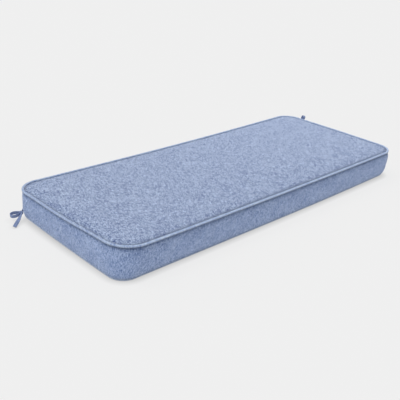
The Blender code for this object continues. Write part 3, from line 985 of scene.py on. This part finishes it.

# %% [markdown]
# ## The cloth materials
# All pieces are cut from one cloth, so they share the weave group, but some get lit or shaded copies
# of its colours: the boxing's is bluer and lower in contrast, as painted shade on the walls; the welt's
# is lighter, as a painted highlight on its ridge, and cut on the slant; the ties' is darker, as painted
# shade on the narrow folded strips. Colours are given as the darkest and the lightest yarn, and the
# streaks, slubs, blotches and clouds each by their contrast between the two.

# %% Cloth materials
Finish = namedtuple("Finish", "dark light pitch streak contrast slub blotch cloud bump turn")
PANEL_DARK, PANEL_LIGHT = (0.005, 0.045, 0.246), (0.632, 0.760, 0.965)
# painted shade: the boxing's copy of the cloth is bluer and lower in contrast, for the shade on its
# walls
SHADED_BOXING_DARK, SHADED_BOXING_LIGHT = (0.074, 0.150, 0.402), (0.564, 0.697, 0.968)
# painted highlight: the welt's copy of the cloth is lighter, for the light on its ridge
HIGHLIT_WELT_DARK, HIGHLIT_WELT_LIGHT = (0.165, 0.265, 0.580), (0.735, 0.860, 1.000)
# painted shade: the ties' copy of the cloth is darker, for the shade they lie in
SHADED_TIE_DARK, SHADED_TIE_LIGHT = (0.088, 0.128, 0.262), (0.370, 0.465, 0.725)
PANEL_FINISH = Finish(PANEL_DARK, PANEL_LIGHT, pitch=0.0015, streak=0.0120, contrast=2.4, slub=4.4,
                      blotch=3.0, cloud=0.50, bump=0.00040, turn=0.0)
SHADED_BOXING_FINISH = Finish(SHADED_BOXING_DARK, SHADED_BOXING_LIGHT, pitch=0.0015, streak=0.0070, contrast=1.2, slub=2.8,
                       blotch=2.5, cloud=0.60, bump=0.00035, turn=0.0)
HIGHLIT_WELT_FINISH = Finish(HIGHLIT_WELT_DARK, HIGHLIT_WELT_LIGHT, pitch=0.0015, streak=0.0060, contrast=1.6, slub=2.4,
                     blotch=1.6, cloud=0.20, bump=0.00025, turn=45.0)
SHADED_TIE_FINISH = Finish(SHADED_TIE_DARK, SHADED_TIE_LIGHT, pitch=0.0013, streak=0.0050, contrast=1.2, slub=0.5,
                    blotch=0.4, cloud=0.25, bump=0.00020, turn=0.0)
# painted shade: the dark colour that the cloth is blended towards where the seams' painted shade lies
PAINTED_SHADE_TINT = (0.010, 0.030, 0.090, 1.0)     # what the cloth fades to in the depth of a seam
CLOTH_GLOSS = 0.3           # specular level
CLOTH_SHEEN = 0.25
SHEEN_SPREAD = 0.5


def make_cloth(name, finish):
    """A material of the woven cloth, on a piece's own cloth coordinates."""
    material, tree, shader = new_material(name)
    place = add(tree, "ShaderNodeUVMap", uv_map=CLOTH_MAP)
    turned = add(tree, "ShaderNodeMapping", {
        "Vector": place.outputs[0], "Rotation": (0.0, 0.0, radians(finish.turn))})
    weave = feed(tree, add(tree, "ShaderNodeGroup", node_tree=weave_group), {
        "Place": turned.outputs[0], "Yarn Pitch": finish.pitch,
        "Streak Length": finish.streak, "Streak Contrast": finish.contrast,
        "Slub Contrast": finish.slub, "Blotch Contrast": finish.blotch,
        "Cloud Contrast": finish.cloud,
        "Dark Yarn": (*finish.dark, 1.0), "Light Yarn": (*finish.light, 1.0)})
    bump = add(tree, "ShaderNodeBump", {
        "Strength": 1.0, "Distance": finish.bump, "Height": weave.outputs["Height"]})
    # painted shade: the attribute blends the weave's colour towards the dark tint beside the seams
    shade = add(tree, "ShaderNodeAttribute", attribute_name=PAINTED_SEAM_SHADE).outputs["Fac"]
    feed(tree, shader, {
        "Base Color": mix(tree, shade, weave.outputs["Colour"], PAINTED_SHADE_TINT, kind="RGBA"),
        "Roughness": weave.outputs["Roughness"], "Normal": bump.outputs[0],
        "Specular IOR Level": CLOTH_GLOSS, "Sheen Weight": CLOTH_SHEEN,
        "Sheen Roughness": SHEEN_SPREAD})
    return material


panel_cloth = make_cloth("panel_cloth", PANEL_FINISH)
shaded_boxing_cloth = make_cloth("shaded_boxing_cloth", SHADED_BOXING_FINISH)
welt_cloth = make_cloth("welt_cloth", HIGHLIT_WELT_FINISH)
tie_cloth = make_cloth("tie_cloth", SHADED_TIE_FINISH)
body.data.materials.append(panel_cloth)
body.data.materials.append(shaded_boxing_cloth)

# %% [markdown]
# ## The thread
# Thread shines a little more than the cloth and has a twist. It is so thin that a plain twisted
# stripe across its length is all that can be seen of it, even from close by.

# %% Thread material
THREAD_COLOURS = ((0.060, 0.080, 0.150, 1.0), (0.130, 0.165, 0.270, 1.0))
THREAD_TWIST = 2600.0       # stripes of the twist, in waves per metre
THREAD_ROUGHNESS = 0.6


def make_thread():
    material, tree, shader = new_material("thread")
    place = add(tree, "ShaderNodeTexCoord").outputs["Object"]
    twist = add(tree, "ShaderNodeTexWave", {
        "Vector": place, "Scale": THREAD_TWIST, "Distortion": 1.0}, bands_direction="DIAGONAL")
    feed(tree, shader, {
        "Base Color": mix(tree, twist.outputs["Fac"], *THREAD_COLOURS, kind="RGBA"),
        "Roughness": THREAD_ROUGHNESS})
    return material


thread = make_thread()

# %% [markdown]
# ## The welts
# A welt is a cord wrapped in a strip of the cloth, whose edges are sewn into the seam. Geometry Nodes
# suit it well, because it only follows a path: the seam line becomes a curve, a circle runs along it,
# and noise along the surface puckers the wrapping where it is pulled round the cord. The tree also
# keeps how far along and how far around each point is, from which the cloth coordinates are made.
# Shade is painted into its colour, as into the body's cloth beside it: all along by its side's
# amount, and more on the flanks that turn into the seam.

# %% The welt's node tree
def new_geometry_tree(name, inputs):
    """A geometry tree with a geometry going in and out, and its sizes as named inputs."""
    tree = bpy.data.node_groups.new(name, "GeometryNodeTree")
    group_sockets(tree, {"Geometry": ("NodeSocketGeometry", None), **inputs},
                  {"Geometry": "NodeSocketGeometry"})
    return tree, tree.nodes.new("NodeGroupInput").outputs


def keep_attribute(tree, geometry, name, value):
    return add(tree, "GeometryNodeStoreNamedAttribute", {
        "Geometry": geometry, "Name": name, "Value": value},
        data_type="FLOAT", domain="POINT").outputs[0]


def close_tree(tree, geometry, material):
    """Ends a tree with one real, smooth mesh in its material."""
    real = add(tree, "GeometryNodeRealizeInstances", {"Geometry": geometry})
    smooth = add(tree, "GeometryNodeSetShadeSmooth", {
        "Geometry": real.outputs[0], "Shade Smooth": True})
    dressed = add(tree, "GeometryNodeSetMaterial", {
        "Geometry": smooth.outputs[0], "Material": material})
    add(tree, "NodeGroupOutput", {"Geometry": dressed.outputs[0]})
    return tree


ROUND_STEPS = 16
PUCKER_MIDDLE = 0.6         # above the noise's own middle, so that the puckers mostly draw in


def make_welt_tree():
    tree, given = new_geometry_tree("welt_along_seam", {
        "Cord Radius": (FLOAT, WELT_RADIUS),
        "Pucker Height": (FLOAT, 0.0002),
        "Pucker Length": (FLOAT, 0.006),
        "Material": ("NodeSocketMaterial", None),
    })
    seam = add(tree, "GeometryNodeMeshToCurve", {"Mesh": given["Geometry"]})
    upright = add(tree, "GeometryNodeSetCurveNormal", {"Curve": seam.outputs[0]}, mode="Z_UP")
    length = add(tree, "GeometryNodeSplineParameter").outputs["Length"]
    path = keep_attribute(tree, upright.outputs[0], "along", length)
    circle = add(tree, "GeometryNodeCurvePrimitiveCircle", {
        "Resolution": ROUND_STEPS, "Radius": given["Cord Radius"]}, mode="RADIUS")
    factor = add(tree, "GeometryNodeSplineParameter").outputs["Factor"]
    section = keep_attribute(tree, circle.outputs[0], "around", factor)
    tube = add(tree, "GeometryNodeCurveToMesh", {"Curve": path, "Profile Curve": section})
    place = add(tree, "GeometryNodeInputPosition").outputs[0]
    pucker = noise_tone(tree, place, maths(tree, "DIVIDE", 1.0, given["Pucker Length"]), detail=1.0)
    amount = maths(tree, "MULTIPLY", maths(tree, "SUBTRACT", pucker, PUCKER_MIDDLE),
                   given["Pucker Height"])
    outward = add(tree, "GeometryNodeInputNormal").outputs[0]
    puckered = add(tree, "GeometryNodeSetPosition", {
        "Geometry": tube.outputs[0],
        "Offset": vector_maths(tree, "SCALE", {0: outward, "Scale": amount})})
    return close_tree(tree, puckered.outputs[0], given["Material"])


# %% Running a tree on a line
def closed_line(name, places):
    """An object that holds only a closed line of edges."""
    mesh = bpy.data.meshes.new(name)
    count = len(places)
    mesh.from_pydata(places.tolist(), [(index, (index + 1) % count) for index in range(count)], [])
    return new_object(name, mesh)


def run_tree(piece, tree, values):
    """Runs a tree on an object and keeps its result as the object's own plain mesh."""
    modifier = piece.modifiers.new("tree", "NODES")
    modifier.node_group = tree
    identifiers = {item.name: item.identifier for item in tree.interface.items_tree
                   if item.in_out == "INPUT"}
    for name, value in values.items():
        modifier[identifiers[name]] = value
    result = bpy.data.meshes.new_from_object(evaluated(piece))
    piece.modifiers.clear()
    old = piece.data
    piece.data = result
    bpy.data.meshes.remove(old)
    result.name = piece.name
    print(piece.name + ":", len(result.polygons), "faces")
    return piece


def map_tube(piece, length, girth):
    """Cloth coordinates of a closed tube, from how far along and around each point was."""
    mesh = piece.data
    corners = np.empty(len(mesh.loops), dtype=int)
    mesh.loops.foreach_get("vertex_index", corners)
    mapped = []
    for name, unit, whole in (("along", 1.0, length), ("around", girth, girth)):
        marks = np.empty(len(mesh.vertices))
        mesh.attributes[name].data.foreach_get("value", marks)
        values = marks[corners.reshape(-1, 4)] * unit
        closing = values.max(axis=1, keepdims=True) - values > whole / 2
        mapped.append(values + closing * whole)
    store_map(mesh, np.stack(mapped, axis=2))


def shade_flanks(piece, line, normals, exposed, front_shade, end_shade):
    """Paints shade into a welt: all over by its side's amount, and more on the flanks that turn into
    its seam.

    The exposed angle is where the open side of the welt faces, up from outward.
    """
    tree = finder(line)
    open_way = level(-normals * cos(exposed), sin(exposed))
    strength = FLANK_SHADE * painted_shade_by_side(normals)
    whole = np.interp(normals[:, 1], (0.0, 1.0), (end_shade, front_shade))
    shade = []
    for place in positions(piece.data):
        near, index, _ = tree.find(place)
        out = Vector(place) - near
        facing = out.normalized().dot(Vector(open_way[index]))
        shade.append(whole[index] + strength[index] * (1.0 - float(smooth_step(facing, *FLANK_TURN))))
    store_shade(piece.data, np.array(shade))


WELT_PUCKER = 0.0004
WELT_PUCKER_LENGTH = 0.006
FLANK_SHADE = 0.60
FLANK_TURN = (-0.45, 0.50)      # cosines: the flank is darkest at the first, and clear at the second
welt_tree = make_welt_tree()


def make_welt(name, line, normals, exposed, front_shade, end_shade):
    welt = run_tree(closed_line(name, line), welt_tree, {
        "Cord Radius": COVER_RADIUS, "Pucker Height": WELT_PUCKER,
        "Pucker Length": WELT_PUCKER_LENGTH, "Material": welt_cloth})
    map_tube(welt, arc_lengths(line)[1], 2.0 * pi * COVER_RADIUS)
    shade_flanks(welt, line, normals, exposed, front_shade, end_shade)
    return welt


top_line = upper_seam - level(top_normals * COVER_PROUD, COVER_SINK)
bottom_line = lower_seam - np.array([0.0, 0.0, COVER_SINK])
# painted shade: the top welt is darker at its ends and back, the bottom one all round and most at the
# front, and both on their flanks
top_cover = make_welt("welt_top_cover", top_line, top_normals, exposed=radians(85.0),
                      front_shade=0.0, end_shade=0.13)
bottom_cover = make_welt("welt_bottom_cover", bottom_line, bottom_normals, exposed=radians(30.0),
                         front_shade=0.34, end_shade=0.16)

# %% [markdown]
# ## The seam stitches
# The seam is closed by a row of small stitches that lie in the channel, between the panel and the
# welt, where they show as a fine dotted line. Each stitch is the same small thread, so one short
# spindle is placed at even steps along a line in the channel and turned to follow it. The instances
# are made real at the end, because an export keeps only real meshes.

# %% Stitches
STITCH_PITCH = 0.0042
STITCH_LENGTH = 0.0028
STITCH_THICKNESS = 0.0006
STITCH_SEED = 4
STITCH_SIZES = (0.85, 1.1)      # no two stitches pull to the same length
STITCH_RISE = 0.25              # a stitch lies this share of its thickness above the channel's ring
SPINDLE_SIDES, SPINDLE_RINGS = 6, 5


def make_stitch_tree():
    tree, given = new_geometry_tree("stitches_along_seam", {
        "Pitch": (FLOAT, STITCH_PITCH),
        "Stitch Length": (FLOAT, STITCH_LENGTH),
        "Stitch Thickness": (FLOAT, STITCH_THICKNESS),
        "Seed": ("NodeSocketInt", STITCH_SEED),
        "Material": ("NodeSocketMaterial", None),
    })
    seam = add(tree, "GeometryNodeMeshToCurve", {"Mesh": given["Geometry"]})
    dots = add(tree, "GeometryNodeCurveToPoints", {"Curve": seam.outputs[0], "Length": given["Pitch"]},
               mode="LENGTH")
    spindle = add(tree, "GeometryNodeMeshUVSphere", {
        "Segments": SPINDLE_SIDES, "Rings": SPINDLE_RINGS, "Radius": 0.5})
    heading = add(tree, "FunctionNodeAlignRotationToVector", {
        "Vector": dots.outputs["Tangent"]}, axis="X")
    smallest, largest = STITCH_SIZES
    wobble = add(tree, "FunctionNodeRandomValue", {
        2: smallest, 3: largest, "Seed": given["Seed"]}, data_type="FLOAT").outputs[1]
    size = add(tree, "ShaderNodeCombineXYZ", {
        "X": maths(tree, "MULTIPLY", given["Stitch Length"], wobble),
        "Y": given["Stitch Thickness"], "Z": given["Stitch Thickness"]})
    placed = add(tree, "GeometryNodeInstanceOnPoints", {
        "Points": dots.outputs[0], "Instance": spindle.outputs[0],
        "Rotation": heading.outputs[0], "Scale": size.outputs[0]})
    return close_tree(tree, placed.outputs[0], given["Material"])


stitch_tree = make_stitch_tree()
CHANNEL_RING = PANEL_RINGS + 1 + ROLL_STEPS // 2
stitch_line = panel_places[CHANNEL_RING] + np.array([0.0, 0.0, STITCH_RISE * STITCH_THICKNESS])
top_stitches = run_tree(closed_line("seam_stitches_top", stitch_line), stitch_tree, {
    "Pitch": STITCH_PITCH, "Stitch Length": STITCH_LENGTH, "Stitch Thickness": STITCH_THICKNESS,
    "Seed": STITCH_SEED, "Material": thread})

# %% [markdown]
# ## The ties
# Each tie is a narrow strip of the cloth, folded flat and sewn on under the upper welt, with a knot, a
# loop and one free end. Strips this narrow are laid along given bends, because a remeshed one would
# lose its edges. Their bends are short tables like those of the solids, in millimetres and degrees,
# and a smooth curve runs through them. The left tie's were set again from a closer look at the
# photograph.
# The section is a flat oval with soft folded edges instead of the solids' plain four corners.

# %% Sizes of the ties
TIE_WIDTH = 0.0098
TIE_THICKNESS = 0.002
TIE_LEVEL = 0.10            # sewn on at this share of the boxing's depth
TIE_STATION = CORNER_STEPS // 3     # and this many stations round the corner from the back
SEWN_GAP = 0.0015           # the strip's middle lies this far outside the boxing
STRIP_STEPS = 9
LOOP_STEPS = 56
SECTION_STEPS = 16
TEARDROP_PEAK = 0.77        # the largest value of the teardrop's curve, which makes its width true
EDGE_POWER, FACE_POWER = 0.7, 0.5       # below 1: a fuller edge and a flatter face than an ellipse's
KNOT_RADII = (0.0058, 0.0055, 0.0058)
Bend = namedtuple("Bend", "x y z heading tilt")
Loop = namedtuple("Loop", "heading climb roll length width")


# %% Laying a strip
def through(bends, steps):
    """A smooth curve through a strip's bends, with some steps between each pair of them."""
    keys = np.array(bends, dtype=float)
    keys = np.vstack([2 * keys[0] - keys[1], keys, 2 * keys[-1] - keys[-2]])
    samples = []
    for before, start, end, after in zip(keys, keys[1:], keys[2:], keys[3:]):
        for step in range(steps):
            t = step / steps
            samples.append(0.5 * (2 * start + (end - before) * t
                                  + (2 * before - 5 * start + 4 * end - after) * t ** 2
                                  + (3 * start - before - 3 * end + after) * t ** 3))
    samples.append(keys[-2])
    return np.array(samples)


def unit(vectors):
    """Rows of vectors, each made one long."""
    return vectors / np.linalg.norm(vectors, axis=1, keepdims=True)


def directions(heading, climb):
    """The direction with a heading and a climb, in degrees, a level one across it, and the third."""
    heading, climb = radians(heading), radians(climb)
    along = np.array([cos(climb) * cos(heading), cos(climb) * sin(heading), sin(climb)])
    across = np.array([-sin(heading), cos(heading), 0.0])
    return along, across, np.cross(along, across)


def strip_along(bends):
    """Centres of a strip through its bends, and the direction of its width at each of them."""
    samples = through(bends, STRIP_STEPS)
    centres = samples[:, :3] / MM
    heading, tilt = np.radians(samples[:, 3:]).T
    level_share = np.cos(tilt)
    across = np.stack(
        [level_share * np.cos(heading), level_share * np.sin(heading), np.sin(tilt)], axis=1)
    tangents = unit(np.gradient(centres, axis=0))
    across -= tangents * np.sum(tangents * across, axis=1, keepdims=True)
    return centres, unit(across)


def strip_round(loop, knot_place):
    """Centres of a teardrop loop that starts and ends in its knot, and the direction of its width."""
    along, level_across, upright = directions(loop.heading, loop.climb)
    across = cos(radians(loop.roll)) * level_across + sin(radians(loop.roll)) * upright
    share = np.linspace(0.0, 1.0, LOOP_STEPS + 1)[:, None]
    reach = loop.length * (1.0 - np.cos(2.0 * np.pi * share)) / 2.0
    teardrop = np.sin(2.0 * np.pi * share) * np.sin(np.pi * share) / TEARDROP_PEAK
    centres = (np.array(knot_place) + along * reach + across * loop.width / 2.0 * teardrop) / MM
    return centres, np.tile(np.cross(along, across), (len(centres), 1))


def oval_section(width, thickness):
    """A flat oval: straight faces with soft folded edges."""
    angles = np.linspace(0.0, 2.0 * np.pi, SECTION_STEPS, endpoint=False)
    edge = np.sign(np.cos(angles)) * np.abs(np.cos(angles)) ** EDGE_POWER
    face = np.sign(np.sin(angles)) * np.abs(np.sin(angles)) ** FACE_POWER
    return edge * width / 2.0, face * thickness / 2.0


def sweep_strip(working, layer, centres, across,
                width=TIE_WIDTH, thickness=TIE_THICKNESS, closed=False):
    """Adds a strip of folded cloth about its centre line to a mesh, with its cloth coordinates."""
    tangents = np.gradient(centres, axis=0)
    if closed:
        tangents = np.roll(centres, -1, axis=0) - np.roll(centres, 1, axis=0)
    facing = unit(np.cross(tangents, across))
    edge, face = oval_section(width, thickness)
    along = np.concatenate([[0.0], np.cumsum(np.linalg.norm(np.diff(centres, axis=0), axis=1))])
    rows = []
    for centre, side, out in zip(centres, across, facing):
        rows.append([working.verts.new(centre + side * e + out * f) for e, f in zip(edge, face)])
    pairs = list(zip(range(len(rows) - 1), range(1, len(rows))))
    if closed:
        pairs.append((len(rows) - 1, 0))
    for near, far in pairs:
        for step in range(SECTION_STEPS):
            following = (step + 1) % SECTION_STEPS
            quad = working.faces.new((rows[near][step], rows[near][following],
                                      rows[far][following], rows[far][step]))
            far_along = along[far] if far > near else along[near] + (along[1] - along[0])
            marks = ((along[near], edge[step]), (along[near], edge[following]),
                     (far_along, edge[following]), (far_along, edge[step]))
            for corner, mark in zip(quad.loops, marks):
                corner[layer].uv = mark
    if not closed:
        for row, spot in ((rows[0], along[0]), (rows[-1], along[-1])):
            for corner, mark in zip(working.faces.new(row).loops, zip(edge, face)):
                corner[layer].uv = (spot + mark[1], mark[0])
    return along[-1]


# %% [markdown]
# ## The knot
# A knot in a flat strip shows as a small fat bundle of turns. Its core is a rounded lump, and two
# bands of the strip are wrapped round it at a slant to each other, one round the root of the loop and
# one round the stem. The wrapped bands are what makes it read as a knot and not as a bead.

# %% The knot's wraps
KnotWrap = namedtuple("KnotWrap", "heading climb radius stretch shift")
BAND_STEPS = 28
BAND_WIDTH, BAND_THICKNESS = 0.0058, 0.0017
BAND_SLANT = 0.9                # millimetres
CORE_SHARE = 0.86               # the core's size beside the whole knot's
CORE_RIPPLE, CORE_RIPPLE_WAVES = 0.06, 2.5
CORE_SIDES, CORE_RINGS = 20, 12


def knot_band(knot_place, wrap):
    """A closed band round the knot: its centres and the direction of its width."""
    axis, first, second = directions(wrap.heading, wrap.climb)
    angles = np.linspace(0.0, 2.0 * np.pi, BAND_STEPS, endpoint=False)[:, None]
    centres = (np.array(knot_place) + axis * (wrap.shift + BAND_SLANT * np.sin(angles))
               + wrap.radius * (np.cos(angles) * first + wrap.stretch * np.sin(angles) * second))
    return centres / MM, np.tile(axis, (len(centres), 1))


def add_knot(working, layer, knot_place, wraps):
    core = bmesh.ops.create_uvsphere(
        working, u_segments=CORE_SIDES, v_segments=CORE_RINGS, radius=1.0)["verts"]
    for vertex in core:
        ripple = 1.0 + CORE_RIPPLE * noise.noise(vertex.co * CORE_RIPPLE_WAVES)
        radii = Vector(KNOT_RADII) * CORE_SHARE * ripple
        vertex.co = Vector(value / MM for value in knot_place) + Vector(
            (vertex.co.x * radii.x, vertex.co.y * radii.y, vertex.co.z * radii.z))
        for corner in vertex.link_loops:
            corner[layer].uv = (vertex.co.x, vertex.co.z)
    for wrap in wraps:
        sweep_strip(working, layer, *knot_band(knot_place, wrap),
                    width=BAND_WIDTH, thickness=BAND_THICKNESS, closed=True)


def sewn_end(side):
    """Where a tie is sewn to the boxing, in millimetres. The side is -1 for the left corner."""
    station = BACK_START - TIE_STATION if side > 0 else LEFT_START + TIE_STATION
    return (boxing_ring(TIE_LEVEL)[station] - level(top_normals, 0.0)[station] * SEWN_GAP) * MM


def make_tie(name, knot_place, stem, loop, tail, wraps):
    """A tie, and the length of strip that it takes."""
    mesh = bpy.data.meshes.new(name)
    working = bmesh.new()
    layer = working.loops.layers.uv.new(CLOTH_MAP)
    length = 0.0
    for centres, across in (strip_along(stem), strip_round(loop, knot_place), strip_along(tail)):
        length += sweep_strip(working, layer, centres, across)
    add_knot(working, layer, knot_place, wraps)
    bmesh.ops.recalc_face_normals(working, faces=working.faces)
    working.to_mesh(mesh)
    working.free()
    mesh.shade_smooth()
    mesh.materials.append(tie_cloth)
    print(name + ":", round(length, 4), "m of strip,", len(mesh.polygons), "faces")
    return new_object(name, mesh), length


# %% The left tie droops by the corner's foot, and its free end lies on the floor
LEFT_KNOT = (-565.5, 199.5, 18.5)
LEFT_STEM = (
    Bend(*sewn_end(-1), 30, 0),
    Bend(-541.0, 225.7, 66, 30, 0),
    Bend(-541.5, 225.3, 50, 32, 0),
    Bend(-543.0, 222.5, 37, 36, -10),
    Bend(-547.5, 216.5, 27, 42, -30),
    Bend(-555.0, 208.5, 21.5, 46, -50),
    Bend(*LEFT_KNOT, 48, -60),
)
LEFT_LOOP = Loop(heading=163, climb=-7, roll=-8, length=29, width=16.5)
LEFT_TAIL = (
    Bend(-566, 198, 20.5, 313, 50),
    Bend(-571, 193, 17.5, 313, 42),
    Bend(-580, 185.5, 12.5, 313, 18),
    Bend(-589, 178.5, 9.0, 313, -10),
    Bend(-597, 172.5, 6.5, 313, -22),
    Bend(-607, 164.5, 4.3, 313, -22),
)
LEFT_WRAPS = (
    KnotWrap(heading=160, climb=20, radius=4.4, stretch=1.0, shift=0.8),
    KnotWrap(heading=60, climb=-35, radius=4.2, stretch=1.05, shift=-0.6),
)
tie_left, left_length = make_tie(
    "tie_left_cloth", LEFT_KNOT, LEFT_STEM, LEFT_LOOP, LEFT_TAIL, LEFT_WRAPS)

# %% The right tie stands out from its corner, with its loop up and its free end hanging
RIGHT_KNOT = (585.0, 169.0, 74.0)
RIGHT_STEM = (
    Bend(*sewn_end(+1), 330, 90),
    Bend(556, 219, 75.5, 330, 90),
    Bend(568, 209, 73, 330, 90),
    Bend(577, 196, 71, 330, 90),
    Bend(582, 182, 71.5, 330, 90),
    Bend(*RIGHT_KNOT, 330, 90),
)
RIGHT_LOOP = Loop(heading=-55, climb=70, roll=20, length=22, width=14)
RIGHT_TAIL = (
    Bend(586, 171, 75, 315, 0),
    Bend(591, 176, 72, 315, 0),
    Bend(596, 181, 60, 315, 0),
    Bend(599, 184, 46, 315, 0),
    Bend(603, 188, 33, 315, 0),
)
RIGHT_WRAPS = (
    KnotWrap(heading=-55, climb=70, radius=4.4, stretch=1.0, shift=0.8),
    KnotWrap(heading=105, climb=10, radius=4.2, stretch=1.05, shift=-0.6),
)
tie_right, right_length = make_tie(
    "tie_right_cloth", RIGHT_KNOT, RIGHT_STEM, RIGHT_LOOP, RIGHT_TAIL, RIGHT_WRAPS)

# %% [markdown]
# ## Joining the frame
# Each visible piece says which solid it stands for, which body it rides on and which finish it has.

# %% Joining the frame
DRESSED = (
    (body, "cushion", "cushion_cloth"),
    (top_cover, "welt_top", "welt_cloth"),
    (bottom_cover, "welt_bottom", "welt_cloth"),
    (tie_left, "tie_left", "tie_cloth"),
    (tie_right, "tie_right", "tie_cloth"),
)
for piece, node, slot in DRESSED:
    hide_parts(node)
    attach(piece, "root")
    far_lamp_receivers.objects.link(piece)
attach(top_stitches, "root")
